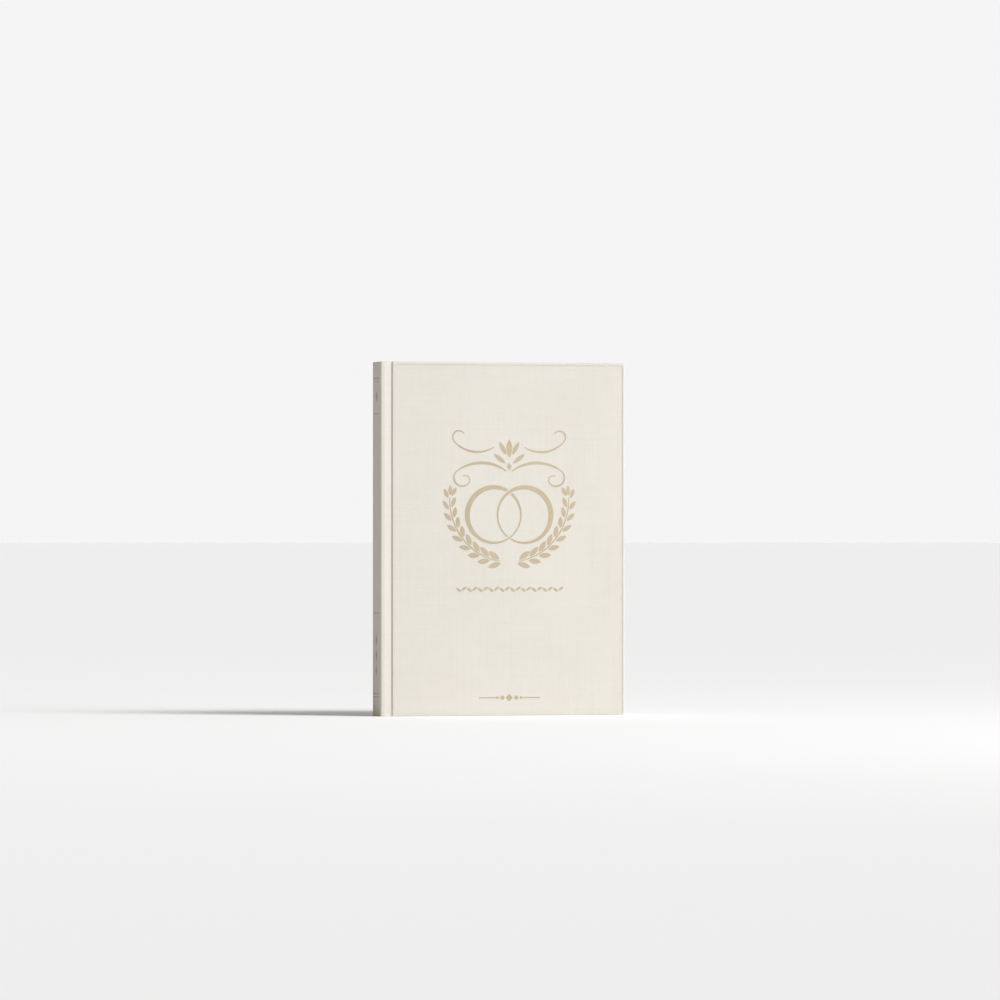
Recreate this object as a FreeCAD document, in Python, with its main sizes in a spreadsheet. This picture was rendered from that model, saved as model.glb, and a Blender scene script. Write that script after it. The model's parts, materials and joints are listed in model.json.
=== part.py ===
import FreeCAD, Part
import Sketcher
import math
import os
import re

# A cloth-covered, section-sewn wedding guest book that stands closed on its tail edge.
# X runs from the spine (-X) to the fore-edge (+X), Y from the front cover (-Y) to the
# back cover (+Y), and Z up. The origin is the middle of the edge that it stands on.

os.makedirs("parts", exist_ok=True)
doc = FreeCAD.newDocument("GuestBook")

driving_sizes = {
    # the leaves
    "page_width": 170.0,
    "page_height": 240.0,
    "section_count": 16,
    "section_thickness": 0.88,
    "section_gap": 0.02,
    "fold_depth": 2.0,
    "flyleaf_thickness": 0.2,
    "pastedown_thickness": 0.15,
    "endpaper_gap": 0.1,
    "pastedown_margin": 3.5,
    # the case
    "board_thickness": 2.5,
    "spine_board_thickness": 2.0,
    "cloth_thickness": 0.4,
    "board_square": 3.0,
    "turn_in": 15.0,
    "spine_corner_radius": 1.2,
    # the joint between the spine and a board; the tab is how far the spine's cloth
    # reaches in past the back of the lining
    "spine_tab": 0.05,
    "joint_run": 4.9,
    "joint_margin": 0.8,
    "groove_depth": 1.5,
    "clearance": 0.05,
    # the back of the book block
    "lining_thickness": 0.25,
    "mull_thickness": 0.25,
    "mull_inset": 15.0,
    "mull_flange_width": 25.0,
    "thread_diameter": 0.5,
    "kettle_inset": 20.0,
    "stitch_stations": 6,
    "band_diameter": 2.0,
    "band_skirt_height": 10.0,
    "band_skirt_thickness": 0.3,
    # the gold foil
    "foil_thickness": 0.1,
    "foil_pocket_depth": 0.2,
    "emblem_width": 100.0,
    "emblem_drop": 98.0,
    "line_width": 78.0,
    "line_drop": 158.0,
    "foot_mark_width": 44.0,
    "foot_mark_drop": 233.5,
}

# Distances worked out from the driving sizes. Stations are measured from the outside
# of the spine, and faces from the middle plane between the two covers.
worked_out_sizes = {
    "case_height": "=page_height + 2 * board_square",
    "half_block": "=section_count * (section_thickness + section_gap) / 2",
    "flyleaf_face": "=half_block + section_gap + flyleaf_thickness",
    "pastedown_face": "=flyleaf_face + endpaper_gap",
    "turn_in_face": "=pastedown_face + pastedown_thickness",
    "board_inner_face": "=turn_in_face + cloth_thickness",
    "board_outer_face": "=board_inner_face + board_thickness",
    "case_face": "=board_outer_face + cloth_thickness",
    "spine_back": "=cloth_thickness + spine_board_thickness",
    "lining_station": "=spine_back + cloth_thickness",
    "mull_station": "=lining_station + lining_thickness",
    "thread_station": "=mull_station + mull_thickness",
    "fold_station": "=thread_station + thread_diameter",
    "leaf_station": "=fold_station + fold_depth",
    "page_edge": "=fold_station + page_width",
    "case_width": "=page_edge + board_square",
    "tab_end": "=lining_station + spine_tab",
    "hinge_station": "=tab_end + clearance + cloth_thickness / 2",
    "hinge_face": "=case_face - cloth_thickness / 2",
    "groove_station": "=hinge_station + joint_run",
    "groove_face": "=hinge_face - groove_depth",
    "joint_length": "=sqrt(joint_run ^ 2 + groove_depth ^ 2)",
    "cover_station": "=groove_station + joint_margin",
    "board_station": "=cover_station + cloth_thickness",
    "spine_x": "=-case_width / 2",
    "block_foot": "=board_square",
    "block_head": "=board_square + page_height",
}


# Writes each plain word that names a cell as the cell's full name.
def spelled_out(text):
    def full_name(match):
        word = match.group()
        if word in driving_sizes:
            return "Sizes." + word
        if word in worked_out_sizes:
            return "Places." + word
        return word
    return re.sub(r"[a-z_]+", full_name, str(text))


# A sheet with one named cell to a row.
def make_sheet(name, entries):
    sheet = doc.addObject("Spreadsheet::Sheet", name)
    for row, (alias, content) in enumerate(entries.items(), start=1):
        sheet.set("A%d" % row, alias)
        sheet.set("B%d" % row, spelled_out(content))
        sheet.setAlias("B%d" % row, alias)
    doc.recompute()
    return sheet


sizes = make_sheet("Sizes", driving_sizes)
places = make_sheet("Places", worked_out_sizes)


# A size or place as a number, for the few shapes that are drawn in code.
def value(name):
    owner = sizes if name in driving_sizes else places
    return float(owner.get(name))


def bind(piece, attribute, text):
    piece.setExpression(attribute, spelled_out(text))


# The distance from the spine's outer face, as a place on X.
def station(text):
    return "spine_x + (%s)" % text


# Two faces as a span on Y, on the front (-1) or the back (+1) side of the middle plane.
def span_on_side(side, inner, outer):
    if side < 0:
        return ("-(%s)" % outer, "-(%s)" % inner)
    return (inner, outer)


def place(piece, x, y, z):
    bind(piece, "Placement.Base.x", x)
    bind(piece, "Placement.Base.y", y)
    bind(piece, "Placement.Base.z", z)


# A plain block between two places on each axis.
def block(name, x, y, z):
    piece = doc.addObject("Part::Box", name)
    bind(piece, "Length", "( %s ) - ( %s )" % (x[1], x[0]))
    bind(piece, "Width", "( %s ) - ( %s )" % (y[1], y[0]))
    bind(piece, "Height", "( %s ) - ( %s )" % (z[1], z[0]))
    place(piece, x[0], y[0], z[0])
    return piece


def new_sketch(body, name):
    plane = next(item for item in body.Origin.OriginFeatures if item.Role == "XY_Plane")
    sketch = body.newObject("Sketcher::SketchObject", name)
    sketch.AttachmentSupport = (plane, [""])
    sketch.MapMode = "FlatFace"
    return sketch


# A sheet of board or paper cut to size: a rectangle on the ground, padded upwards.
def cut_sheet(name, x, y, z):
    body = doc.addObject("PartDesign::Body", name)
    sketch = new_sketch(body, name + "_outline")
    corners = [(0, 0), (10, 0), (10, 5), (0, 5)]
    for index, (px, py) in enumerate(corners):
        qx, qy = corners[(index + 1) % 4]
        sketch.addGeometry(Part.LineSegment(FreeCAD.Vector(px, py, 0), FreeCAD.Vector(qx, qy, 0)))
    for index in range(4):
        sketch.addConstraint(Sketcher.Constraint("Coincident", index, 2, (index + 1) % 4, 1))
    for index in (0, 2):
        sketch.addConstraint(Sketcher.Constraint("Horizontal", index))
    for index in (1, 3):
        sketch.addConstraint(Sketcher.Constraint("Vertical", index))
    sketch.addConstraint(Sketcher.Constraint("Coincident", 0, 1, -1, 1))
    width = sketch.addConstraint(Sketcher.Constraint("DistanceX", 0, 1, 0, 2, 10))
    depth = sketch.addConstraint(Sketcher.Constraint("DistanceY", 1, 1, 1, 2, 5))
    bind(sketch, "Constraints[%d]" % width, "( %s ) - ( %s )" % (x[1], x[0]))
    bind(sketch, "Constraints[%d]" % depth, "( %s ) - ( %s )" % (y[1], y[0]))
    pad = body.newObject("PartDesign::Pad", name + "_pad")
    pad.Profile = sketch
    bind(pad, "Length", "( %s ) - ( %s )" % (z[1], z[0]))
    place(body, x[0], y[0], z[0])
    body.Label = name
    return body


# Rounds the two upright edges of a cut sheet that lie on its -X face.
def round_spine_edges(body, radius):
    doc.recompute()
    pad = body.Tip
    low_x = pad.Shape.BoundBox.XMin
    names = []
    for index, edge in enumerate(pad.Shape.Edges, start=1):
        upright = edge.BoundBox.ZLength > edge.BoundBox.YLength
        if upright and abs(edge.BoundBox.XMax - low_x) < 1e-6:
            names.append("Edge%d" % index)
    fillet = body.newObject("PartDesign::Fillet", body.Name + "_round")
    fillet.Base = (pad, names)
    bind(fillet, "Radius", radius)


def fused(name, shapes):
    piece = doc.addObject("Part::MultiFuse", name)
    piece.Shapes = shapes
    piece.Refine = True
    return piece


def cut_away(name, base, tools):
    piece = doc.addObject("Part::Cut", name)
    piece.Base = base
    piece.Tool = tools[0] if len(tools) == 1 else fused(name + "_waste", tools)
    piece.Label = name
    return piece


def group(name, members):
    piece = doc.addObject("Part::Compound", name)
    piece.Links = members
    piece.Label = name
    return piece


full_height = ("0", "case_height")
page_rise = ("block_foot", "block_head")
nodes = []


# ---- the book block: sections, their glued folds, and the endpapers' flyleaves

section_count = int(value("section_count"))
fold_pieces = []
for number in range(section_count):
    name = "section_%02d" % (number + 1)
    start = "-half_block + %d * (section_thickness + section_gap) + section_gap / 2" % number
    y = (start, start + " + section_thickness")
    leaves_x = (station("leaf_station + clearance"), station("page_edge"))
    nodes.append(cut_sheet(name, leaves_x, y, page_rise))
    fold_x = (station("fold_station"), station("leaf_station"))
    fold_pieces.append(block(name + "_fold", fold_x, y, page_rise))
nodes.append(group("section_folds", fold_pieces))

for name, side in (("front_flyleaf", -1), ("back_flyleaf", 1)):
    x = (station("leaf_station + clearance"), station("page_edge"))
    y = span_on_side(side, "flyleaf_face - flyleaf_thickness", "flyleaf_face")
    nodes.append(cut_sheet(name, x, y, page_rise))


# ---- the back of the block: thread, mull, lining and head bands

stitches = []
for number in range(int(value("stitch_stations"))):
    stitch = doc.addObject("Part::Cylinder", "stitch_%d" % (number + 1))
    bind(stitch, "Radius", "thread_diameter / 2")
    bind(stitch, "Height", "2 * half_block - section_gap")
    spacing = "(page_height - 2 * kettle_inset) / (stitch_stations - 1)"
    rise = "block_foot + kettle_inset + %d * %s" % (number, spacing)
    place(stitch, station("fold_station - thread_diameter / 2"), "-half_block + section_gap / 2", rise)
    stitch.Placement.Rotation = FreeCAD.Rotation(FreeCAD.Vector(1, 0, 0), -90)
    stitches.append(stitch)
nodes.append(group("sewing_thread", stitches))

block_faces = ("-half_block", "half_block")
mull_rise = ("block_foot + mull_inset", "block_head - mull_inset")
mull_x = (station("mull_station"), station("thread_station"))
lining_x = (station("lining_station"), station("mull_station"))
nodes.append(cut_sheet("spine_mull", mull_x, block_faces, mull_rise))
nodes.append(cut_sheet("spine_lining", lining_x, block_faces, page_rise))


# A corded band that closes the end of the block, with a skirt glued to the folds.
def end_band(name, bead_rise, skirt_rise):
    skirt_x = (station("fold_station - band_skirt_thickness"), station("fold_station"))
    skirt = block(name + "_skirt", skirt_x, block_faces, skirt_rise)
    bead = doc.addObject("Part::Cylinder", name + "_bead")
    bind(bead, "Radius", "band_diameter / 2")
    bind(bead, "Height", "2 * half_block")
    bead_x = station("fold_station - band_skirt_thickness + band_diameter / 2")
    place(bead, bead_x, "-half_block", bead_rise)
    bead.Placement.Rotation = FreeCAD.Rotation(FreeCAD.Vector(1, 0, 0), -90)
    band = fused(name, [skirt, bead])
    band.Label = name
    return band


head_bead_rise = "block_head + band_diameter / 2"
tail_bead_rise = "block_foot - band_diameter / 2"
nodes.append(end_band("head_band", head_bead_rise, ("block_head - band_skirt_height", head_bead_rise)))
nodes.append(end_band("tail_band", tail_bead_rise, (tail_bead_rise, "block_foot + band_skirt_height")))


# ---- the spine of the case

spine_faces = ("-board_outer_face", "board_outer_face")
board_rise = ("cloth_thickness", "case_height - cloth_thickness")
window_rise = ("turn_in", "case_height - turn_in")
beyond = "case_height"

spine_board_x = (station("cloth_thickness"), station("spine_back"))
spine_board = cut_sheet("spine_board", spine_board_x, spine_faces, board_rise)
round_spine_edges(spine_board, "spine_corner_radius - cloth_thickness")
nodes.append(spine_board)

spine_wrap = cut_sheet(
    "spine_wrap", ("spine_x", station("tab_end")), ("-case_face", "case_face"), full_height)
round_spine_edges(spine_wrap, "spine_corner_radius")
between_turn_ins = block(
    "spine_between_turn_ins", (station("spine_back"), beyond), spine_faces, window_rise)
behind_turn_ins_rise = ("-turn_in", beyond + " + turn_in")
behind_turn_ins = block(
    "spine_behind_turn_ins", (station("lining_station"), beyond), spine_faces, behind_turn_ins_rise)


# ---- gold foil: flat outlines drawn with X to the right and Z up

def at(u, v):
    return FreeCAD.Vector(u, 0, v)


def polar(centre, radius, degrees):
    angle = math.radians(degrees)
    return centre + at(radius * math.cos(angle), radius * math.sin(angle))


def outline(edges):
    return Part.Face(Part.Wire([edge.toShape() for edge in edges]))


def polygon(points):
    return outline([Part.LineSegment(points[index - 1], points[index]) for index in range(len(points))])


def disc(centre, radius):
    return outline([Part.Circle(centre, FreeCAD.Vector(0, -1, 0), radius)])


# A ring whose inner circle sits off centre, so its stroke runs from thin to thick.
def swelling_ring(centre, radius, thin, thick, thick_side):
    inner_radius = radius - (thin + thick) / 2
    inner_centre = polar(centre, (thick - thin) / 2, thick_side + 180)
    return disc(centre, radius).cut(disc(inner_centre, inner_radius))


# A pointed leaf between its base and its tip, widest a little before the middle.
def leaf(base, direction, length, width):
    tip = polar(base, length, direction)
    middle = polar(base, length * 0.45, direction)
    left = polar(middle, width / 2, direction + 90)
    right = polar(middle, width / 2, direction - 90)
    return outline([Part.Arc(base, left, tip), Part.Arc(tip, right, base)])


# An arc drawn with a pen: narrow at both ends and broader at the middle.
def stroke(centre, radius, first, last, end_width, middle_width):
    middle = (first + last) / 2
    outer = [polar(centre, radius + end_width / 2, angle) for angle in (first, last)]
    inner = [polar(centre, radius - end_width / 2, angle) for angle in (first, last)]
    outer_middle = polar(centre, radius + middle_width / 2, middle)
    inner_middle = polar(centre, radius - middle_width / 2, middle)
    return outline([
        Part.Arc(outer[0], outer_middle, outer[1]),
        Part.LineSegment(outer[1], inner[1]),
        Part.Arc(inner[1], inner_middle, inner[0]),
        Part.LineSegment(inner[0], outer[0]),
    ])


def lozenge(centre, half_width, half_height):
    return polygon([
        centre + at(half_width, 0), centre + at(0, half_height),
        centre + at(-half_width, 0), centre + at(0, -half_height),
    ])


def rule(centre, width, height):
    return polygon([
        centre + at(width / 2, height / 2), centre + at(-width / 2, height / 2),
        centre + at(-width / 2, -height / 2), centre + at(width / 2, -height / 2),
    ])


# The same outline on the other side of the middle line.
def reflected(face):
    return face.mirror(at(0, 0), FreeCAD.Vector(1, 0, 0))


# Two rings linked like a chain: each is cut where it passes under the other.
def linked_rings():
    radius, thin, thick, gap, centre_rise, half_spacing = 20.5, 0.9, 3.6, 0.8, -8.0, 11.5
    rings = []
    wide_rings = []
    for hand in (-1, 1):
        centre = at(hand * half_spacing, centre_rise)
        thick_side = 90 + hand * -60
        rings.append(swelling_ring(centre, radius, thin, thick, thick_side))
        wide_rings.append(swelling_ring(
            centre, radius + gap, thin + 2 * gap, thick + 2 * gap, thick_side))
    upper_half = rule(at(0, centre_rise + radius), 2 * radius, 2 * radius)
    lower_half = rule(at(0, centre_rise - radius), 2 * radius, 2 * radius)
    left = rings[0].cut(wide_rings[1].common(upper_half))
    right = rings[1].cut(wide_rings[0].common(lower_half))
    return [left, right]


# A laurel spray that follows an arc round the left of the rings.
def laurel():
    centre, radius, first, last, pairs = at(0, 2), 43.0, 261.0, 177.0, 9
    leaf_length, leaf_width, splay, off_stem = 9.4, 3.7, 27.0, 1.2
    faces = [stroke(centre, radius, last, first, 0.5, 1.0)]
    for number in range(pairs):
        angle = first + (last - first) * number / (pairs - 1)
        shrink = 1.0 - 0.25 * number / (pairs - 1)
        along = angle - 90
        for hand in (-1, 1):
            base = polar(centre, radius - hand * off_stem, angle - hand)
            faces.append(leaf(base, along - hand * splay, leaf_length * shrink, leaf_width * shrink))
    tip = polar(centre, radius, last - 1.5)
    faces.append(leaf(tip, last - 90, leaf_length * 0.75, leaf_width * 0.7))
    return faces


# A pen flourish over the rings: on each side a long bow that curls in at its end.
def flourish():
    long_centre, long_radius = at(-20, -3), 31.0
    curl_radius, eye_radius = 6.0, 3.2
    curl_centre = polar(long_centre, long_radius - curl_radius, 124)
    eye_centre = polar(curl_centre, curl_radius - eye_radius, 320)
    upper_centre, upper_radius = at(-23, 58), 22.5
    tuft_radius = 4.4
    tuft_centre = polar(upper_centre, upper_radius - tuft_radius, 222)
    lower = [
        stroke(long_centre, long_radius, 54, 124, 0.7, 2.0),
        stroke(curl_centre, curl_radius, 124, 320, 0.7, 1.3),
        stroke(eye_centre, eye_radius, 320, 480, 0.7, 0.7),
    ]
    upper = [
        stroke(upper_centre, upper_radius, 222, 302, 0.6, 1.5),
        stroke(tuft_centre, tuft_radius, 30, 222, 0.6, 1.0),
    ]
    faces = [bow[0].multiFuse(bow[1:]).removeSplitter() for bow in (lower, upper)]
    faces.append(leaf(at(-2.6, 27.5), 142, 11.0, 3.0))
    faces.append(leaf(at(-2.2, 33.5), 118, 10.5, 3.0))
    return faces


def scaled(faces, ratio):
    matrix = FreeCAD.Matrix()
    matrix.scale(ratio, 1, ratio)
    return Part.makeCompound([face.transformGeometry(matrix) for face in faces])


# The emblem is drawn 100 wide and then brought to its real width.
def emblem():
    one_side = laurel() + flourish()
    faces = linked_rings() + one_side + [reflected(face) for face in one_side]
    faces.append(lozenge(at(0, 25.5), 1.8, 2.8))
    faces.append(leaf(at(0, 31.5), 90, 13.0, 4.2))
    return scaled(faces, value("emblem_width") / 100)


# A fine garland: small leaves that lean up and down in turn along a line.
def garland():
    count, leaf_length, leaf_width, lean = 20, 4.6, 1.7, 38.0
    pitch = 78.0 / count
    faces = []
    for number in range(count):
        base = at((number + 0.15) * pitch - 39.0, -1.0 if number % 2 else 1.0)
        faces.append(leaf(base, lean if number % 2 else -lean, leaf_length, leaf_width))
    return scaled(faces, value("line_width") / 78)


# A lozenge chain between two short rules.
def foot_chain():
    faces = [lozenge(at(0, 0), 2.6, 2.6)]
    for hand in (-1, 1):
        faces.append(lozenge(at(hand * 5.0, 0), 1.7, 1.7))
        faces.append(lozenge(at(hand * 8.6, 0), 1.1, 1.1))
        faces.append(rule(at(hand * 16.0, 0), 12.0, 0.7))
    return scaled(faces, value("foot_mark_width") / 44)


# The spine's marks, each at its own height: single and double rules and lozenges.
def spine_marks():
    height = value("case_height")
    width = 2 * (value("case_face") - value("spine_corner_radius") - 2.2)
    drops = {"double_rule": (12.5, height - 14.6), "rule": (36.0, height - 71.6)}
    faces = []
    for drop in drops["double_rule"]:
        faces.append(rule(at(0, height - drop + 1.1), width, 0.9))
        faces.append(rule(at(0, height - drop - 1.1), width, 0.5))
    for drop in drops["rule"]:
        faces.append(rule(at(0, height - drop), width, 0.7))
    for drop in (24.0, height - 52.5, height - 42.0, height - 31.5):
        faces.append(lozenge(at(0, height - drop), 3.0, 4.2))
    return Part.makeCompound(faces)


# The foil lies on the floor of a shallow pocket that its stamp pressed in the cloth.
def stamped(name, faces, origin, turn):
    depth = value("foil_pocket_depth")
    thickness = value("foil_thickness")
    rotation = FreeCAD.Rotation(FreeCAD.Vector(0, 0, 1), turn)
    inward = rotation.multVec(FreeCAD.Vector(0, 1, 0))
    foil = doc.addObject("Part::Feature", name)
    foil.Shape = faces.extrude(FreeCAD.Vector(0, thickness, 0))
    foil.Placement = FreeCAD.Placement(origin + inward * (depth - thickness), rotation)
    foil.Label = name
    pocket = doc.addObject("Part::Feature", name + "_pocket")
    pocket.Shape = faces.extrude(FreeCAD.Vector(0, 2 * depth, 0))
    pocket.Placement = FreeCAD.Placement(origin - inward * depth, rotation)
    nodes.append(foil)
    return pocket


def on_front_cover(drop):
    middle = value("spine_x") + (value("cover_station") + value("case_width")) / 2
    return FreeCAD.Vector(middle, -value("case_face"), value("case_height") - value(drop))


spine_pocket = stamped("spine_foil", spine_marks(), FreeCAD.Vector(value("spine_x"), 0, 0), -90)
front_pockets = [
    stamped("front_emblem_foil", emblem(), on_front_cover("emblem_drop"), 0),
    stamped("front_line_foil", garland(), on_front_cover("line_drop"), 0),
    stamped("front_foot_foil", foot_chain(), on_front_cover("foot_mark_drop"), 0),
]

nodes.append(cut_away(
    "spine_cloth", spine_wrap, [spine_board, between_turn_ins, behind_turn_ins, spine_pocket]))


# ---- the two covers and the cloth joints that carry them

# The joint's strip of cloth, with round edges: a slot padded upwards, which slopes
# from the spine's corner down to the bottom of the groove.
def joint_cloth(name, side):
    body = doc.addObject("PartDesign::Body", name)
    sketch = new_sketch(body, name + "_outline")
    length, radius = 5.0, 0.2
    upwards = FreeCAD.Vector(0, 0, 1)
    right_end = Part.Circle(FreeCAD.Vector(length, 0, 0), upwards, radius)
    left_end = Part.Circle(FreeCAD.Vector(0, 0, 0), upwards, radius)
    low = (FreeCAD.Vector(0, -radius, 0), FreeCAD.Vector(length, -radius, 0))
    high = (FreeCAD.Vector(length, radius, 0), FreeCAD.Vector(0, radius, 0))
    sketch.addGeometry(Part.LineSegment(low[0], low[1]))
    sketch.addGeometry(Part.ArcOfCircle(right_end, -math.pi / 2, math.pi / 2))
    sketch.addGeometry(Part.LineSegment(high[0], high[1]))
    sketch.addGeometry(Part.ArcOfCircle(left_end, math.pi / 2, 3 * math.pi / 2))
    for index in range(4):
        following = (index + 1) % 4
        sketch.addConstraint(Sketcher.Constraint("Tangent", index, 2, following, 1))
    sketch.addConstraint(Sketcher.Constraint("Horizontal", 0))
    sketch.addConstraint(Sketcher.Constraint("Coincident", 3, 3, -1, 1))
    end_radius = sketch.addConstraint(Sketcher.Constraint("Radius", 3, radius))
    run = sketch.addConstraint(Sketcher.Constraint("DistanceX", 3, 3, 1, 3, length))
    bind(sketch, "Constraints[%d]" % end_radius, "cloth_thickness / 2")
    bind(sketch, "Constraints[%d]" % run, "joint_length")
    pad = body.newObject("PartDesign::Pad", name + "_pad")
    pad.Profile = sketch
    bind(pad, "Length", "case_height")
    place(body, station("hinge_station"), "%d * hinge_face" % side, "0")
    bind(body, "Placement.Rotation.Angle", "%d * atan(groove_depth / joint_run)" % -side)
    body.Label = name
    return body


# A cover's cloth: wrapped round the board, turned in on three sides, and pressed down
# the board's hinge edge to the bottom of the groove.
def cover_cloth(name, side, board, pockets):
    wrap_x = (station("cover_station"), station("case_width"))
    wrap = block(name + "_wrap", wrap_x, span_on_side(side, "turn_in_face", "case_face"), full_height)
    window_x = (station("cover_station - clearance"), station("case_width - turn_in"))
    window_y = span_on_side(side, "turn_in_face - clearance", "board_inner_face")
    window = block(name + "_window", window_x, window_y, window_rise)
    bare_x = (station("cover_station - clearance"), station("board_station"))
    bare_y = span_on_side(side, "turn_in_face - clearance", "groove_face - cloth_thickness / 2")
    bare_edge = block(name + "_bare_edge", bare_x, bare_y, ("-clearance", "case_height + clearance"))
    wrapped = cut_away(name + "_over_board", wrap, [board, window, bare_edge] + pockets)
    foot_x = (station("groove_station + cloth_thickness / 2 + clearance"), station("board_station"))
    foot_y = span_on_side(side, "groove_face - cloth_thickness / 2", "groove_face + cloth_thickness / 2")
    foot = block(name + "_groove_foot", foot_x, foot_y, full_height)
    cloth = fused(name, [wrapped, foot])
    cloth.Label = name
    return cloth


# The pastedown lies on the turn-ins, drops on to the board between them, and rises
# again over the mull's flange.
def pastedown(name, side, flange):
    margin_x = (station("board_station"), station("case_width - pastedown_margin"))
    margin_rise = ("pastedown_margin", "case_height - pastedown_margin")
    on_turn_ins = block(
        name + "_margin", margin_x, span_on_side(side, "pastedown_face", "turn_in_face"), margin_rise)
    drop_x = (station("board_station"), station("case_width - turn_in"))
    drop = block(
        name + "_drop", drop_x, span_on_side(side, "pastedown_face", "board_inner_face"), window_rise)
    hollow_x = (station("board_station - clearance"), station("case_width - turn_in - pastedown_thickness"))
    hollow_face = "board_inner_face - pastedown_thickness"
    hollow_y = span_on_side(side, "pastedown_face - clearance", hollow_face)
    hollow_rise = ("turn_in + pastedown_thickness", "case_height - turn_in - pastedown_thickness")
    hollow = block(name + "_hollow", hollow_x, hollow_y, hollow_rise)
    pressed = cut_away(name + "_pressed", fused(name + "_flat", [on_turn_ins, drop]), [hollow])
    over_x = (station("board_station"), station("board_station + mull_flange_width + pastedown_thickness"))
    over_face = "board_inner_face - mull_thickness - pastedown_thickness"
    over_y = span_on_side(side, over_face, "board_inner_face")
    over_rise = (mull_rise[0] + " - pastedown_thickness", mull_rise[1] + " + pastedown_thickness")
    over_flange = block(name + "_over_flange", over_x, over_y, over_rise)
    return cut_away(name, fused(name + "_raised", [pressed, over_flange]), [flange])


for name, side, pockets in (("front", -1, front_pockets), ("back", 1, [])):
    nodes.append(joint_cloth(name + "_joint_cloth", side))
    board_x = (station("board_station"), station("case_width - cloth_thickness"))
    board_y = span_on_side(side, "board_inner_face", "board_outer_face")
    board = cut_sheet(name + "_board", board_x, board_y, board_rise)
    flange_x = (station("board_station"), station("board_station + mull_flange_width"))
    flange_y = span_on_side(side, "board_inner_face - mull_thickness", "board_inner_face")
    flange = cut_sheet(name + "_mull_flange", flange_x, flange_y, mull_rise)
    nodes.append(board)
    nodes.append(flange)
    nodes.append(cover_cloth(name + "_cover_cloth", side, board, pockets))
    nodes.append(pastedown(name + "_pastedown", side, flange))


# ---- every piece is looked over before any is written

doc.recompute()
for item in doc.Objects:
    if "Invalid" in item.State or "Error" in item.State:
        raise RuntimeError(item.Name + " did not build")
for node in nodes:
    if node.Shape.isNull() or not node.Shape.isValid() or not node.Shape.Solids:
        raise RuntimeError(node.Label + " has no sound shape")
for node in nodes:
    node.Shape.exportStep("parts/%s.step" % node.Label)
    print("%-20s %3d solids %10.1f mm3" % (node.Label, len(node.Shape.Solids), node.Shape.Volume))
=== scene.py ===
import json
import math
import random
import bpy
import bmesh
import numpy as np
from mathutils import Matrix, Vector
from mathutils.geometry import delaunay_2d_cdt


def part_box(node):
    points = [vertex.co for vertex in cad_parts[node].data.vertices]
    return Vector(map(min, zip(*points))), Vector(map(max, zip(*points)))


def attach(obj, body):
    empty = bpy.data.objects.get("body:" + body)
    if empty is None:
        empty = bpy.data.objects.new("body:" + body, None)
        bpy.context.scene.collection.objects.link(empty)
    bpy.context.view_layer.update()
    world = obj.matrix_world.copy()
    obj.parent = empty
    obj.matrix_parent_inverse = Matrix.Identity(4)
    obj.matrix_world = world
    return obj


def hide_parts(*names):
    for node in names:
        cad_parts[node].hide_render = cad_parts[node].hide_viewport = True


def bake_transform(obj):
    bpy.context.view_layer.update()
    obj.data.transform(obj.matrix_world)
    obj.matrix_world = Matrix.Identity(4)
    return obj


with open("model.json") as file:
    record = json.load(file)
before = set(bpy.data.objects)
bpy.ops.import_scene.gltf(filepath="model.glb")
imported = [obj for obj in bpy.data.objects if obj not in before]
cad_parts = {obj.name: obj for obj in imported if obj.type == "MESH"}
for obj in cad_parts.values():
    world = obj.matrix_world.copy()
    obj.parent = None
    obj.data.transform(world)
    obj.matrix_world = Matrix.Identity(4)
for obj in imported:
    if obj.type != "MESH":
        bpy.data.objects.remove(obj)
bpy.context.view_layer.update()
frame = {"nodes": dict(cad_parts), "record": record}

mm = 0.001
tiny = 0.001 * mm                # points nearer than this are one point
sharpAngle = 40                  # bends of the cloth and paper above this stay sharp
dice = random.Random(20)
frontSide, backSide = -1, 1      # the sign of Y on each side of the middle plane


# Lowest and highest corner of a node, as vectors
def cornersOf(node):
    low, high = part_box(node)
    return Vector(low), Vector(high)


spineX = cornersOf("spine_cloth")[0].x
bookHeight = cornersOf("spine_cloth")[1].z
coverFace = cornersOf("back_cover_cloth")[1].y          # outside of a cover, from the middle plane
turnInFace = cornersOf("back_cover_cloth")[0].y         # inside of a cover's turned-in cloth
coverHingeX = cornersOf("back_board")[0].x
foreEdgeX = cornersOf("back_cover_cloth")[1].x
spineBackX = cornersOf("spine_board")[1].x
foldX = cornersOf("section_folds")[0].x
leafX = cornersOf("section_folds")[1].x
flyleafFace = cornersOf("back_flyleaf")[1].y
blockLow, blockHigh = cornersOf("section_folds")
clothThick = coverFace - cornersOf("back_board")[1].y
coverStartX = coverHingeX - clothThick


def jointPlace(name):
    for joint in frame["record"]["behaviour"]["joints"]:
        if joint["name"] == name:
            return Vector(joint["pos_m"])


hingePoint = jointPlace("back_hinge")
foldPoint = jointPlace("back_board_fold")


def addObject(name, mesh):
    piece = bpy.data.objects.new(name, mesh)
    bpy.context.scene.collection.objects.link(piece)
    return piece


# A mesh from points and faces, with one flat map point for each vertex
def buildPiece(name, points, faces, mapPoints=None):
    mesh = bpy.data.meshes.new(name)
    mesh.from_pydata([tuple(p) for p in points], [], faces)
    if mapPoints is not None:
        layer = mesh.uv_layers.new(name="clothMap")
        corners = np.zeros(len(mesh.loops), np.int32)
        mesh.loops.foreach_get("vertex_index", corners)
        layer.data.foreach_set("uv", np.array(mapPoints, np.float32)[corners].ravel())
    mesh.update()
    return addObject(name, mesh)


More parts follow.
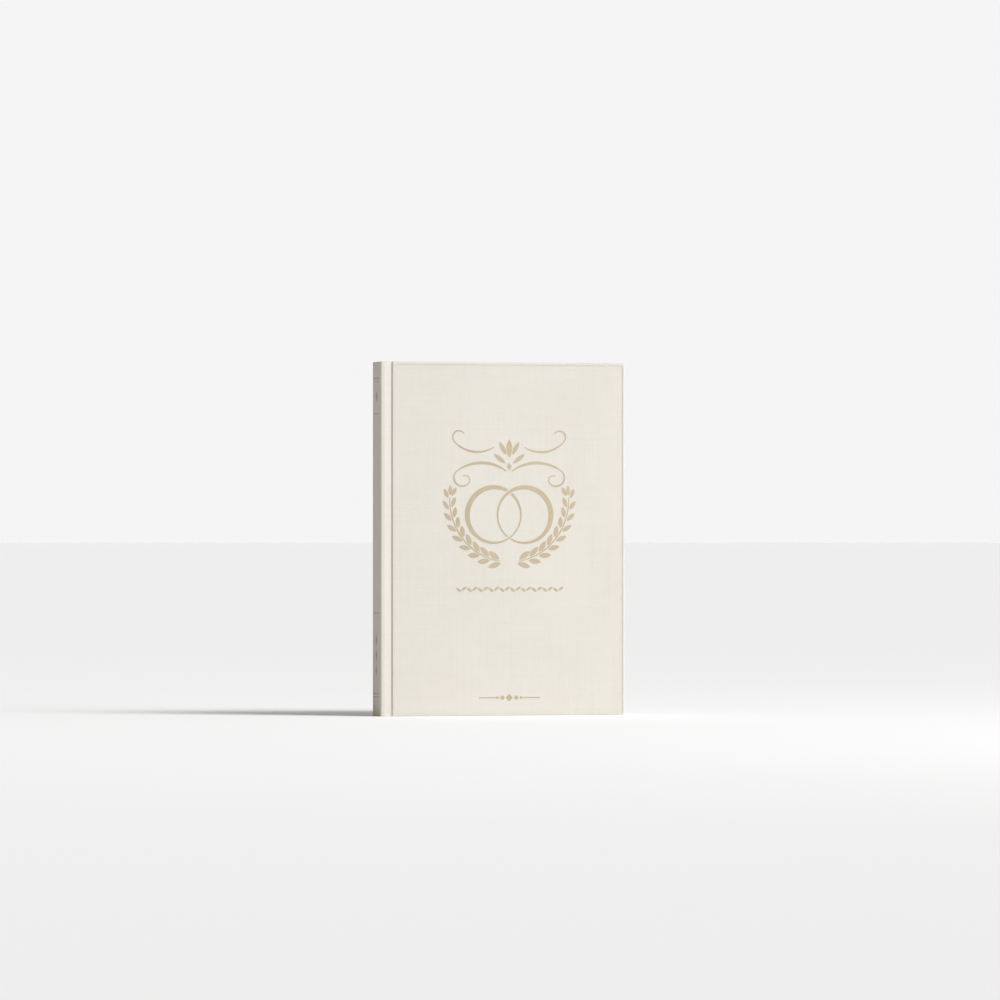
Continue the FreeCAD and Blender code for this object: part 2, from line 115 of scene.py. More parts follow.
# Turns all the faces over unless, taken together, they look along a direction
def faceOutwards(piece, direction):
    shape = bmesh.new()
    shape.from_mesh(piece.data)
    total = Vector((0, 0, 0))
    for face in shape.faces:
        total += face.normal * face.calc_area()
    if total.dot(direction) < 0:
        bmesh.ops.reverse_faces(shape, faces=shape.faces)
    shape.to_mesh(piece.data)
    shape.free()


# Turns each face of closed bodies outwards
def faceEachOutwards(piece):
    shape = bmesh.new()
    shape.from_mesh(piece.data)
    bmesh.ops.recalc_face_normals(shape, faces=shape.faces)
    shape.to_mesh(piece.data)
    shape.free()


def thicken(piece, thickness, even):
    solid = piece.modifiers.new("clothBody", "SOLIDIFY")
    solid.thickness = thickness
    solid.offset = -1
    solid.use_even_offset = even


# Replaces a piece's mesh with what its modifiers make of it
def applyModifiers(piece):
    seen = bpy.context.evaluated_depsgraph_get()
    made = bpy.data.meshes.new_from_object(piece.evaluated_get(seen))
    piece.modifiers.clear()
    piece.data = made


def shadeSmooth(piece, angle):
    for face in piece.data.polygons:
        face.use_smooth = True
    piece.data.set_sharp_from_angle(angle=math.radians(angle))


spinePocket = {"nearOutside": 0.02 * mm, "reach": 0.4 * mm}


# Cuts the foil's pockets in the spine: the foil's own outlines, reaching out past the cloth
def pressSpinePockets(piece):
    stamp = frame["nodes"]["spine_foil"].data.copy()
    points = np.zeros(len(stamp.vertices) * 3, np.float32)
    stamp.vertices.foreach_get("co", points)
    points = points.reshape(-1, 3)
    outer = points[:, 0] < points[:, 0].min() + spinePocket["nearOutside"]
    points[outer, 0] -= spinePocket["reach"]
    stamp.vertices.foreach_set("co", points.ravel())
    stamp.materials.clear()
    cutter = addObject("stamp", stamp)
    weld = bmesh.new()
    weld.from_mesh(stamp)
    bmesh.ops.remove_doubles(weld, verts=weld.verts, dist=tiny)
    weld.to_mesh(stamp)
    weld.free()
    cut = piece.modifiers.new("pockets", "BOOLEAN")
    cut.operation = "DIFFERENCE"
    cut.solver = "EXACT"
    cut.object = cutter
    applyModifiers(piece)
    bpy.data.objects.remove(cutter)


# Gives a socket a value, or links another node's output to it
def feed(tree, socket, given):
    if isinstance(given, bpy.types.NodeSocket):
        tree.links.new(given, socket)
    else:
        socket.default_value = given


def addNode(tree, kind, inputs=None, **settings):
    node = tree.nodes.new(kind)
    for key, setting in settings.items():
        setattr(node, key, setting)
    for key, given in (inputs or {}).items():
        feed(tree, node.inputs[key], given)
    return node


def calc(tree, operation, first, second=0.0, third=0.0):
    node = addNode(tree, "ShaderNodeMath", {0: first, 1: second, 2: third}, operation=operation)
    return node.outputs[0]


def noise(tree, vector, scale, detail=2.0, rough=0.5):
    inputs = {"Vector": vector, "Scale": scale, "Detail": detail, "Roughness": rough}
    return addNode(tree, "ShaderNodeTexNoise", inputs).outputs["Fac"]


def stretch(tree, vector, scale):
    return addNode(tree, "ShaderNodeMapping", {"Vector": vector, "Scale": scale}).outputs[0]


# Brings a value from one range to another, easing in and out
def spread(tree, value, low, high, lowOut=0.0, highOut=1.0):
    inputs = {"Value": value, "From Min": low, "From Max": high, "To Min": lowOut, "To Max": highOut}
    return addNode(tree, "ShaderNodeMapRange", inputs, interpolation_type="SMOOTHSTEP").outputs[0]


def mixColor(tree, share, first, second, blend="MIX"):
    node = addNode(tree, "ShaderNodeMix", data_type="RGBA", blend_type=blend)
    feed(tree, node.inputs[0], share)
    feed(tree, node.inputs[6], first)
    feed(tree, node.inputs[7], second)
    return node.outputs[2]


def newGroup(name, inputs, outputs):
    group = bpy.data.node_groups.new(name, "ShaderNodeTree")
    for socketName, kind, default in inputs:
        socket = group.interface.new_socket(socketName, in_out="INPUT", socket_type=kind)
        if default is not None:
            socket.default_value = default
    for socketName, kind in outputs:
        group.interface.new_socket(socketName, in_out="OUTPUT", socket_type=kind)
    given = addNode(group, "NodeGroupInput").outputs
    result = addNode(group, "NodeGroupOutput").inputs
    return group, given, result


def useGroup(tree, group, inputs):
    node = addNode(tree, "ShaderNodeGroup", node_tree=group)
    for key, given in inputs.items():
        feed(tree, node.inputs[key], given)
    return node.outputs


# Plain weave of uneven threads, with slubs: thick stretches of thread
def makeWeaveGroup():
    group, given, result = newGroup(
        "plainWeave",
        [("Vector", "NodeSocketVector", None), ("Threads", "NodeSocketFloat", 2000.0),
         ("Slubs", "NodeSocketFloat", 0.5)],
        [("Height", "NodeSocketFloat"), ("Tone", "NodeSocketFloat")])
    warpStreaks = noise(group, stretch(group, given["Vector"], (900.0, 14.0, 1.0)), 1.0, 2.0)
    weftStreaks = noise(group, stretch(group, given["Vector"], (14.0, 900.0, 1.0)), 1.0, 2.0)
    wander = noise(group, given["Vector"], 260.0, 2.0)
    place = addNode(group, "ShaderNodeSeparateXYZ", {0: given["Vector"]}).outputs
    waves = []
    for axis, streaks in ((0, warpStreaks), (1, weftStreaks)):
        threads = calc(group, "MULTIPLY", place[axis], given["Threads"])
        drift = calc(group, "MULTIPLY", wander, 1.6)
        uneven = calc(group, "MULTIPLY_ADD", streaks, 0.5, drift)
        phase = calc(group, "MULTIPLY", calc(group, "ADD", threads, uneven), math.pi)
        waves.append(calc(group, "SINE", phase))
    over = spread(group, calc(group, "MULTIPLY", waves[0], waves[1]), -0.25, 0.25)
    warp = calc(group, "ABSOLUTE", waves[0])
    weft = calc(group, "ABSOLUTE", waves[1])
    warpPart = calc(group, "MULTIPLY", warp, over)
    weftPart = calc(group, "MULTIPLY", weft, calc(group, "SUBTRACT", 1.0, over))
    weave = calc(group, "ADD", warpPart, weftPart)
    slubWarp = spread(group, warpStreaks, 0.60, 0.74)
    slubWeft = spread(group, weftStreaks, 0.58, 0.72)
    slubs = calc(group, "MULTIPLY", calc(group, "MAXIMUM", slubWarp, slubWeft), given["Slubs"])
    feed(group, result["Height"], calc(group, "ADD", weave, calc(group, "MULTIPLY", slubs, 0.9)))
    fineTone = calc(group, "MULTIPLY_ADD", weave, 0.55, 0.3)
    streakTone = calc(group, "MULTIPLY_ADD", calc(group, "ADD", warpStreaks, weftStreaks), 0.5, -0.5)
    slubTone = calc(group, "MULTIPLY", slubs, -0.2)
    broadTone = calc(group, "MULTIPLY_ADD", streakTone, 0.6, slubTone)
    feed(group, result["Tone"], calc(group, "ADD", fineTone, broadTone))
    return group


# Broad, faint clouds of tone that handling and storage leave on anything
def makeHandlingGroup():
    group, given, result = newGroup(
        "handlingTone",
        [("Vector", "NodeSocketVector", None), ("Strength", "NodeSocketFloat", 0.5)],
        [("Tone", "NodeSocketFloat")])
    clouds = noise(group, given["Vector"], 16.0, 3.0)
    marks = noise(group, given["Vector"], 120.0, 4.0, 0.65)
    both = calc(group, "MULTIPLY_ADD", marks, 0.4, calc(group, "MULTIPLY", clouds, 0.6))
    centred = calc(group, "MULTIPLY", calc(group, "SUBTRACT", both, 0.5), given["Strength"])
    feed(group, result["Tone"], calc(group, "ADD", centred, 0.5))
    return group


# Felted fibres and specks, for paper and board
def makeFibreGroup():
    group, given, result = newGroup(
        "paperFibre",
        [("Vector", "NodeSocketVector", None), ("Scale", "NodeSocketFloat", 900.0),
         ("Specks", "NodeSocketFloat", 0.2)],
        [("Height", "NodeSocketFloat"), ("Tone", "NodeSocketFloat"), ("Speck", "NodeSocketFloat")])
    felt = noise(group, given["Vector"], given["Scale"], 5.0, 0.6)
    long = noise(group, stretch(group, given["Vector"], (0.35, 1.0, 1.0)), given["Scale"], 3.0)
    coarse = noise(group, given["Vector"], 140.0, 3.0)
    grain = calc(group, "MULTIPLY_ADD", felt, 0.6, calc(group, "MULTIPLY", long, 0.4))
    specks = spread(group, noise(group, given["Vector"], 1500.0, 1.0), 0.72, 0.80)
    feed(group, result["Height"], grain)
    halfGrain = calc(group, "MULTIPLY", grain, 0.5)
    feed(group, result["Tone"], calc(group, "MULTIPLY_ADD", coarse, 0.5, halfGrain))
    feed(group, result["Speck"], calc(group, "MULTIPLY", specks, given["Specks"]))
    return group


weaveGroup = makeWeaveGroup()
handlingGroup = makeHandlingGroup()
fibreGroup = makeFibreGroup()
print("node groups ready")


def newMaterial(name, settings):
    material = bpy.data.materials.new(name)
    material.use_nodes = True
    tree = material.node_tree
    shader = tree.nodes["Principled BSDF"]
    for key, setting in settings.items():
        shader.inputs[key].default_value = setting
    return material, tree, shader


def surfaceVector(tree, useMap):
    if useMap:
        return addNode(tree, "ShaderNodeUVMap", uv_map="clothMap").outputs[0]
    return addNode(tree, "ShaderNodeTexCoord").outputs["Object"]


# Turns a frame's X-Y-Z into the two axes that lie in an upright face
def uprightVector(tree, vector, across):
    parts = addNode(tree, "ShaderNodeSeparateXYZ", {0: vector}).outputs
    return addNode(tree, "ShaderNodeCombineXYZ", {0: parts[across], 1: parts[2], 2: 0.0}).outputs[0]


def addBump(tree, shader, height, distance):
    bump = addNode(tree, "ShaderNodeBump", {"Strength": 1.0, "Distance": distance, "Height": height})
    tree.links.new(bump.outputs[0], shader.inputs["Normal"])


linen = {"pale": (0.722, 0.692, 0.632, 1), "deep": (0.576, 0.542, 0.474, 1), "threads": 2100.0,
         "slubs": 0.55, "relief": 0.07 * mm, "roughness": (0.82, 0.95)}


def makeLinen():
    material, tree, shader = newMaterial(
        "coverLinen", {"Sheen Weight": 0.18, "Sheen Roughness": 0.5, "Specular IOR Level": 0.25})
    vector = surfaceVector(tree, True)
    weave = useGroup(
        tree, weaveGroup, {"Vector": vector, "Threads": linen["threads"], "Slubs": linen["slubs"]})
    handled = useGroup(tree, handlingGroup, {"Vector": vector, "Strength": 0.5})
    tone = calc(tree, "ADD", weave["Tone"], calc(tree, "SUBTRACT", handled["Tone"], 0.5))
    color = mixColor(tree, spread(tree, tone, 0.15, 0.75), linen["deep"], linen["pale"])
    tree.links.new(color, shader.inputs["Base Color"])
    low, high = linen["roughness"]
    tree.links.new(spread(tree, weave["Height"], 0.1, 1.0, high, low), shader.inputs["Roughness"])
    addBump(tree, shader, weave["Height"], linen["relief"])
    return material


foilLook = {"bright": (0.575, 0.476, 0.336, 1), "dull": (0.455, 0.374, 0.260, 1),
            "bare": (0.66, 0.62, 0.55, 1), "metal": 0.75, "relief": 0.025 * mm}


# Across says which axis runs across the marks: 0 on a cover, 1 on the spine
def makeFoil(name, across):
    material, tree, shader = newMaterial(name, {"Specular IOR Level": 0.4})
    place = uprightVector(tree, surfaceVector(tree, False), across)
    weave = useGroup(tree, weaveGroup, {"Vector": place, "Threads": linen["threads"], "Slubs": 0.3})
    handled = useGroup(tree, handlingGroup, {"Vector": place, "Strength": 1.4})
    color = mixColor(tree, handled["Tone"], foilLook["dull"], foilLook["bright"])
    threadTops = calc(tree, "MULTIPLY", weave["Height"], 0.35)
    hold = calc(tree, "MULTIPLY_ADD", noise(tree, place, 2600.0, 2.0), 0.5, threadTops)
    gaps = spread(tree, hold, 0.30, 0.22)
    tree.links.new(mixColor(tree, gaps, color, foilLook["bare"]), shader.inputs["Base Color"])
    covered = calc(tree, "SUBTRACT", 1.0, gaps)
    tree.links.new(calc(tree, "MULTIPLY", covered, foilLook["metal"]), shader.inputs["Metallic"])
    tree.links.new(spread(tree, handled["Tone"], 0.2, 0.8, 0.36, 0.50), shader.inputs["Roughness"])
    addBump(tree, shader, weave["Height"], foilLook["relief"])
    return material


# Paper and board differ by their fibre, tone and specks
paperKinds = {
    "leafPaper": {"pale": (0.790, 0.768, 0.705, 1), "deep": (0.650, 0.625, 0.560, 1), "scale": 1100.0,
                  "specks": 0.05, "relief": 0.012 * mm, "roughness": 0.86},
    "endpaperPaper": {"pale": (0.775, 0.748, 0.680, 1), "deep": (0.695, 0.665, 0.595, 1), "scale": 800.0,
                      "specks": 0.15, "relief": 0.02 * mm, "roughness": 0.90},
    "greyBoard": {"pale": (0.360, 0.330, 0.290, 1), "deep": (0.230, 0.205, 0.175, 1), "scale": 420.0,
                  "specks": 0.75, "relief": 0.06 * mm, "roughness": 0.95},
    "kraftLining": {"pale": (0.500, 0.360, 0.210, 1), "deep": (0.390, 0.265, 0.145, 1), "scale": 620.0,
                    "specks": 0.35, "relief": 0.02 * mm, "roughness": 0.88},
}


# Sheets that bend carry their own map; the pieces that stay rigid use their own axes
def makePaper(name, kindName, bends):
    kind = paperKinds[kindName]
    material, tree, shader = newMaterial(name, {"Specular IOR Level": 0.3})
    vector = surfaceVector(tree, bends)
    fibre = useGroup(
        tree, fibreGroup, {"Vector": vector, "Scale": kind["scale"], "Specks": kind["specks"]})
    handled = useGroup(tree, handlingGroup, {"Vector": vector, "Strength": 0.6})
    tone = calc(tree, "ADD", fibre["Tone"], calc(tree, "SUBTRACT", handled["Tone"], 0.5))
    color = mixColor(tree, spread(tree, tone, 0.25, 0.75), kind["deep"], kind["pale"])
    speckColor = tuple(0.45 * part for part in kind["deep"][:3]) + (1,)
    tree.links.new(mixColor(tree, fibre["Speck"], color, speckColor), shader.inputs["Base Color"])
    rough = kind["roughness"]
    roughness = spread(tree, fibre["Height"], 0.3, 0.7, rough + 0.05, rough - 0.05)
    tree.links.new(roughness, shader.inputs["Roughness"])
    addBump(tree, shader, fibre["Height"], kind["relief"])
    return material


# Open starched gauze: the gaps between its threads are painted dark, as painted shade in the holes of
# the weave
gauze = {"thread": (0.770, 0.720, 0.600, 1), "paintedShadeGap": (0.300, 0.250, 0.180, 1), "threads": 1100.0,
         "relief": 0.12 * mm}


# Across says which axis runs across the gauze: 0 on a flange, 1 on the spine
def makeGauze(name, across):
    material, tree, shader = newMaterial(name, {"Sheen Weight": 0.1, "Specular IOR Level": 0.2})
    place = uprightVector(tree, surfaceVector(tree, False), across)
    weave = useGroup(tree, weaveGroup, {"Vector": place, "Threads": gauze["threads"], "Slubs": 0.2})
    threads = spread(tree, weave["Height"], 0.45, 0.75)
    # Painted shade: where the weave is low, between the threads, the colour goes dark
    tree.links.new(mixColor(tree, threads, gauze["paintedShadeGap"], gauze["thread"]), shader.inputs["Base Color"])
    tree.links.new(spread(tree, threads, 0.0, 1.0, 0.55, 0.9), shader.inputs["Roughness"])
    addBump(tree, shader, weave["Height"], gauze["relief"])
    return material


# Twisted yarn, for the sewing thread and the end bands: its twist runs round the yarn
yarnKinds = {
    "linenThread": {"pale": (0.820, 0.780, 0.660, 1), "deep": (0.560, 0.500, 0.380, 1), "twist": 2600.0,
                    "relief": 0.05 * mm, "roughness": 0.62},
    "bandCotton": {"pale": (0.860, 0.835, 0.760, 1), "deep": (0.640, 0.600, 0.510, 1), "twist": 1500.0,
                   "relief": 0.08 * mm, "roughness": 0.85},
}


def makeYarn(name):
    kind = yarnKinds[name]
    material, tree, shader = newMaterial(name, {"Sheen Weight": 0.2, "Specular IOR Level": 0.3})
    vector = surfaceVector(tree, False)
    parts = addNode(tree, "ShaderNodeSeparateXYZ", {0: vector}).outputs
    sideways = calc(tree, "ADD", parts[1], calc(tree, "MULTIPLY", parts[0], 0.6))
    slant = calc(tree, "MULTIPLY_ADD", parts[2], 0.6, sideways)
    fuzz = calc(tree, "MULTIPLY", noise(tree, vector, 2400.0, 3.0), 2.0)
    turns = calc(tree, "MULTIPLY_ADD", slant, 2 * math.pi * kind["twist"], fuzz)
    height = calc(tree, "MULTIPLY_ADD", calc(tree, "SINE", turns), 0.5, 0.5)
    handled = useGroup(tree, handlingGroup, {"Vector": vector, "Strength": 0.8})
    tone = calc(tree, "MULTIPLY_ADD", height, 0.7, calc(tree, "MULTIPLY", handled["Tone"], 0.5))
    color = mixColor(tree, spread(tree, tone, 0.2, 0.9), kind["deep"], kind["pale"])
    tree.links.new(color, shader.inputs["Base Color"])
    rough = kind["roughness"]
    roughness = spread(tree, height, 0.0, 1.0, rough + 0.1, rough - 0.05)
    tree.links.new(roughness, shader.inputs["Roughness"])
    addBump(tree, shader, height, kind["relief"])
    return material


linenCloth = makeLinen()
coverFoil = makeFoil("coverFoil", 0)
spineFoil = makeFoil("spineFoil", 1)
papers = {name: makePaper(name, name, False) for name in paperKinds}
bentLeafPaper = makePaper("bentLeafPaper", "leafPaper", True)
bentEndpaper = makePaper("bentEndpaper", "endpaperPaper", True)
yarns = {name: makeYarn(name) for name in yarnKinds}
flangeGauze = makeGauze("flangeGauze", 0)
spineGauze = makeGauze("spineGauze", 1)
print("materials ready")


def dress(piece, material):
    piece.data.materials.clear()
    piece.data.materials.append(material)


coverWrap = {"outerEdge": 0.7 * mm, "innerEdge": 0.55 * mm, "corner": 1.1 * mm, "bendSteps": 5,
             "turnIn": 15.0 * mm, "hingeTurnIn": 0.6 * mm, "clothBody": 0.34 * mm, "cornerSteps": 6,
             "sideSteps": 12, "flatEdge": 1.0 * mm, "pocket": 0.21 * mm, "leastCorner": 0.12 * mm,
             "turnInSteps": (0.35, 0.9, 1.0), "nearFace": 0.3 * mm, "mapStart": 10.0 * mm}


# Where a point of a cover's outer face lies on the flat cloth
def coverMapPoint(x, z):
    return (x - spineX + coverWrap["mapStart"], z)


# Points round a rectangle with round corners, from the lower left corner onwards.
# Each is (x, z, outX, outZ), where out points away from the rectangle.
def roundedRectangle(x0, x1, z0, z1, radius, cornerSteps, sideSteps):
    corners = [(x0 + radius, z0 + radius, 180), (x1 - radius, z0 + radius, 270),
               (x1 - radius, z1 - radius, 0), (x0 + radius, z1 - radius, 90)]
    ring = []
    for index, (cx, cz, first) in enumerate(corners):
        for step in range(cornerSteps + 1):
            angle = math.radians(first + 90 * step / cornerSteps)
            outX, outZ = math.cos(angle), math.sin(angle)
            ring.append((cx + radius * outX, cz + radius * outZ, outX, outZ))
        nextX, nextZ, nextAngle = corners[(index + 1) % 4]
        start, outwards = ring[-1][:2], ring[-1][2:]
        turned = math.radians(nextAngle)
        end = (nextX + radius * math.cos(turned), nextZ + radius * math.sin(turned))
        for step in range(1, sideSteps):
            share = step / sideSteps
            x = start[0] + (end[0] - start[0]) * share
            z = start[1] + (end[1] - start[1]) * share
            ring.append((x, z) + outwards)
    return ring


# One ring for each step of the wrap: (inset from the edges, height off the middle
# plane, length of cloth from the outer face, turn-in at the hinge edge)
def wrapSteps(look):
    outer, inner, steps = look["outerEdge"], look["innerEdge"], look["bendSteps"]
    rings = [(outer + look["flatEdge"], coverFace, -look["flatEdge"], None)]
    length = 0.0
    for step in range(steps + 1):
        angle = math.pi / 2 * step / steps
        inset, drop = outer * (1 - math.sin(angle)), outer * (1 - math.cos(angle))
        rings.append((inset, coverFace - drop, length, None))
        length += outer * math.pi / 2 / steps
    length += coverFace - turnInFace - outer - inner
    for step in range(steps + 1):
        angle = math.pi / 2 * step / steps
        inset, rise = inner * (1 - math.cos(angle)), inner * (1 - math.sin(angle))
        rings.append((inset, turnInFace + rise, length, None))
        length += inner * math.pi / 2 / steps
    reach = look["turnIn"] - inner
    for share in look["turnInSteps"]:
        rings.append((inner + reach * share, turnInFace, length + reach * share, look["hingeTurnIn"]))
    return rings


def makeCoverCloth(name, side, body):
    look = coverWrap
    points, mapPoints, faces = [], [], []
    for inset, height, length, hingeInset in wrapSteps(look):
        left = coverStartX + (inset if hingeInset is None else hingeInset)
        radius = max(look["corner"] - inset, look["leastCorner"])
        ring = roundedRectangle(left, foreEdgeX - inset, inset, bookHeight - inset, radius,
                                look["cornerSteps"], look["sideSteps"])
        for x, z, outX, outZ in ring:
            points.append((x, side * height, z))
            unfold = length + inset - look["outerEdge"]
            mapPoints.append(coverMapPoint(x + outX * unfold, z + outZ * unfold))
    ringSize = len(ring)
    for row in range(len(points) // ringSize - 1):
        for index in range(ringSize):
            following = (index + 1) % ringSize
            a, b = row * ringSize + index, row * ringSize + following
            faces.append((a, b, b + ringSize, a + ringSize))
    faces.append(tuple(reversed(range(ringSize))))
    piece = buildPiece(name, points, faces, mapPoints)
    faceOutwards(piece, Vector((0, side, 0)))
    thicken(piece, look["clothBody"], True)
    applyModifiers(piece)
    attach(piece, body)
    return piece


# The outlines of a foil's outer faces: loops of points, each with the number of its mark
def foilOutlines(node):
    shape = bmesh.new()
    shape.from_mesh(frame["nodes"][node].data)
    bmesh.ops.remove_doubles(shape, verts=shape.verts, dist=tiny)
    outside = min(vertex.co.y for vertex in shape.verts) + 0.002 * mm
    shown = {face for face in shape.faces if all(vertex.co.y < outside for vertex in face.verts)}
    beside = {}
    for edge in shape.edges:
        if sum(face in shown for face in edge.link_faces) == 1:
            for vertex in edge.verts:
                beside.setdefault(vertex, []).append(edge.other_vert(vertex))
    marks = {}
    for number, face in enumerate(shown):
        spreading = [vertex for vertex in face.verts if vertex not in marks]
        while spreading:
            vertex = spreading.pop()
            if vertex not in marks:
                marks[vertex] = (node, number)
                for near in vertex.link_faces:
                    if near in shown:
                        spreading += near.verts
    loops = []
    while beside:
        start = next(iter(beside))
        loop, before, here = [], None, start
        while here in beside:
            loop.append((here.co.x, here.co.z))
            following = [vertex for vertex in beside.pop(here) if vertex is not before]
            before, here = here, following[0]
        loops.append((marks[start], loop))
    shape.free()
    return loops


# A place is under foil when it lies inside an odd number of outlines of some one mark
def underFoil(outlinesRound, marks):
    counts = {}
    for number in outlinesRound:
        if number:
            mark = marks[number - 1]
            counts[mark] = counts.get(mark, 0) + 1
    return any(count % 2 for count in counts.values())


# Lays the cover's wide outer face anew, with a pocket pressed in under each foil outline
def pressCover(piece, side, loops, depth):
    shape = bmesh.new()
    shape.from_mesh(piece.data)
    wide = max(shape.faces, key=lambda face: (len(face.verts), side * face.calc_center_median().y))
    border = [(vertex.co.x, vertex.co.z) for vertex in wide.verts]
    shape.faces.remove(wide)
    points, outlines = [], []
    marks = [mark for mark, loop in loops]
    for loop in [border] + [loop for mark, loop in loops]:
        outlines.append(list(range(len(points), len(points) + len(loop))))
        points += [Vector(point) for point in loop]
    edges = [(ring[index - 1], ring[index]) for ring in outlines for index in range(len(ring))]
    laid = delaunay_2d_cdt(points, edges, outlines, 1, 1e-9)
    flat, triangles, within = laid[0], laid[2], laid[5]
    layer = shape.loops.layers.uv["clothMap"]
    made = {}

    def vertexAt(index, sunk):
        if (index, sunk) not in made:
            height = coverFace - depth if sunk else coverFace
            made[index, sunk] = shape.verts.new((flat[index].x, side * height, flat[index].y))
        return made[index, sunk]

    def addFace(corners):
        face = shape.faces.new(corners)
        for corner in face.loops:
            corner[layer].uv = coverMapPoint(corner.vert.co.x, corner.vert.co.z)

    levelEdges, sunkEdges = set(), []
    for triangle, outlinesRound in zip(triangles, within):
        sunk = underFoil(outlinesRound, marks)
        order = list(triangle) if side < 0 else list(reversed(triangle))
        addFace([vertexAt(index, sunk) for index in order])
        for index in range(3):
            edge = (order[index - 1], order[index])
            if sunk:
                sunkEdges.append(edge)
            else:
                levelEdges.add(edge)
    for a, b in sunkEdges:
        if (b, a) in levelEdges:
            addFace([vertexAt(b, True), vertexAt(a, True), vertexAt(a, False), vertexAt(b, False)])
    bmesh.ops.remove_doubles(shape, verts=shape.verts, dist=tiny)
    shape.to_mesh(piece.data)
    shape.free()


spineBack = {"nearFace": 0.3 * mm, "width": 0.9, "foot": 0.04, "head": 0.96}


# Shades the spine's flat back flat, short of its round corners and ends
def finishSpineBack(piece):
    reach = spineBack["width"] * (coverFace - jointCloth["spineCorner"])
    for face in piece.data.polygons:
        x, y, z = face.center
        upright = spineBack["foot"] < z / bookHeight < spineBack["head"]
        if x < spineX + spineBack["nearFace"] and abs(y) < reach and upright:
            face.use_smooth = False


# Shades the flat outer face flat, and gives the pockets in it the same map as the cloth
def finishOuterFace(piece, side):
    mesh = piece.data
    layer = mesh.uv_layers["clothMap"]
    border = coverWrap["outerEdge"] + coverWrap["flatEdge"]
    for face in mesh.polygons:
        x, y, z = face.center
        inset = min(x - coverStartX, foreEdgeX - x, z, bookHeight - z)
        if inset > border and side * y > coverFace - coverWrap["nearFace"]:
            face.use_smooth = False
            for corner in face.loop_indices:
                point = mesh.vertices[mesh.loops[corner].vertex_index].co
                layer.data[corner].uv = coverMapPoint(point.x, point.z)


# The point at a share of the way between two points
def along(start, end, share):
    return (start[0] + (end[0] - start[0]) * share, start[1] + (end[1] - start[1]) * share)


# A bend between two points, pulled towards a third
def curve(start, pull, end, steps):
    points = []
    for step in range(steps + 1):
        share = step / steps
        points.append(along(along(start, pull, share), along(pull, end, share), share))
    return points


jointSlope = math.atan2(hingePoint.y - foldPoint.y, foldPoint.x - hingePoint.x)
jointCloth = {"spineCorner": 1.2 * mm, "cornerSteps": 8, "spineRows": (0, 0.25, 0.5, 0.75, 0.92, 1.0),
              "rollLead": 1.1 * mm, "rollStart": 0.7 * mm, "rollPull": 0.1 * mm, "rollShare": 0.16,
              "rollSteps": 6, "slopeShare": 0.70, "slopeSteps": 12, "grooveShare": 0.88,
              "groovePull": (0.15 * mm, 0.12 * mm), "grooveRound": 0.75 * mm, "grooveSteps": 8,
              "grooveSag": 0.55 * mm, "edgeGap": 0.05 * mm, "edgeRise": 0.25 * mm, "turnIn": 15.0 * mm,
              "edgeRound": 0.45 * mm, "edgeSteps": 4, "clothBody": 0.34 * mm, "flapDepth": 0.8 * mm,
              "backGap": 0.5 * mm, "innerGap": 0.3 * mm, "uprightRows": (0.04, 0.25, 0.5, 0.75, 0.96),
              "puff": 0.45 * mm, "puffFrom": 1.2 * mm, "puffWidth": 2.6 * mm}


# The cloth's outside seen from above, as (x, height off the middle plane), from the
# spine's middle to the bottom of the groove and up the board's edge. The cloth bridges
# the groove's corner, so it stays a little off the bottom.
def outerPath():
    look = jointCloth
    radius = look["spineCorner"]
    path = [(spineX, share * (coverFace - radius)) for share in look["spineRows"]]
    for step in range(1, look["cornerSteps"] + 1):
        angle = math.radians(180 - 90 * step / look["cornerSteps"])
        rise = radius * math.sin(angle)
        path.append((spineX + radius + radius * math.cos(angle), coverFace - radius + rise))
    offX, offY = clothThick / 2 * math.sin(jointSlope), clothThick / 2 * math.cos(jointSlope)
    top = (hingePoint.x + offX, hingePoint.y + offY)
    bottom = (foldPoint.x + offX, foldPoint.y + offY + look["grooveSag"])
    path.append((hingePoint.x - look["rollLead"], coverFace))
    rollStart = (hingePoint.x - look["rollStart"], coverFace)
    rollPull = (hingePoint.x + look["rollPull"], coverFace)
    path += curve(rollStart, rollPull, along(top, bottom, look["rollShare"]), look["rollSteps"])
    for step in range(1, look["slopeSteps"] + 1):
        share = look["rollShare"] + look["slopeShare"] * step / look["slopeSteps"]
        path.append(along(top, bottom, share))
    edge = (coverStartX + look["edgeGap"], bottom[1] + look["grooveRound"])
    pull = (edge[0] - look["groovePull"][0], bottom[1] - look["groovePull"][1])
    path += curve(along(top, bottom, look["grooveShare"]), pull, edge, look["grooveSteps"])
    path.append((edge[0], edge[1] + look["edgeRise"]))
    return path


# The inside of the turned-in cloth beside each point of the outside
def innerPath(outside):
    backX = spineBackX + clothThick
    cornerHeight = coverFace - clothThick - jointCloth["backGap"]
    inside = []
    for index, (x, height) in enumerate(outside):
        before = outside[max(index - 1, 0)]
        after = outside[min(index + 1, len(outside) - 1)]
        run = math.hypot(after[0] - before[0], after[1] - before[1])
        inward = ((after[1] - before[1]) / run, -(after[0] - before[0]) / run)
        depth = jointCloth["flapDepth"]
        spot = (x + inward[0] * depth, height + inward[1] * depth)
        if spot[0] < backX:
            inner = height * (cornerHeight - jointCloth["innerGap"]) / coverFace
            spot = (backX, min(inner, cornerHeight))
        inside.append(spot)
    return inside


# The way over the cloth's end edge, as (share of the depth, rise) for one end
def overEdge(depth, radius, steps):
    bend = min(radius, depth / 2)
    way = []
    for step in range(steps + 1):
        angle = math.pi / 2 * step / steps
        way.append((bend * (1 - math.cos(angle)) / depth, bend * math.sin(angle)))
    for step in range(steps + 1):
        angle = math.pi / 2 * step / steps
        way.append((1 - bend * (1 - math.sin(angle)) / depth, bend * math.cos(angle)))
    return way, bend


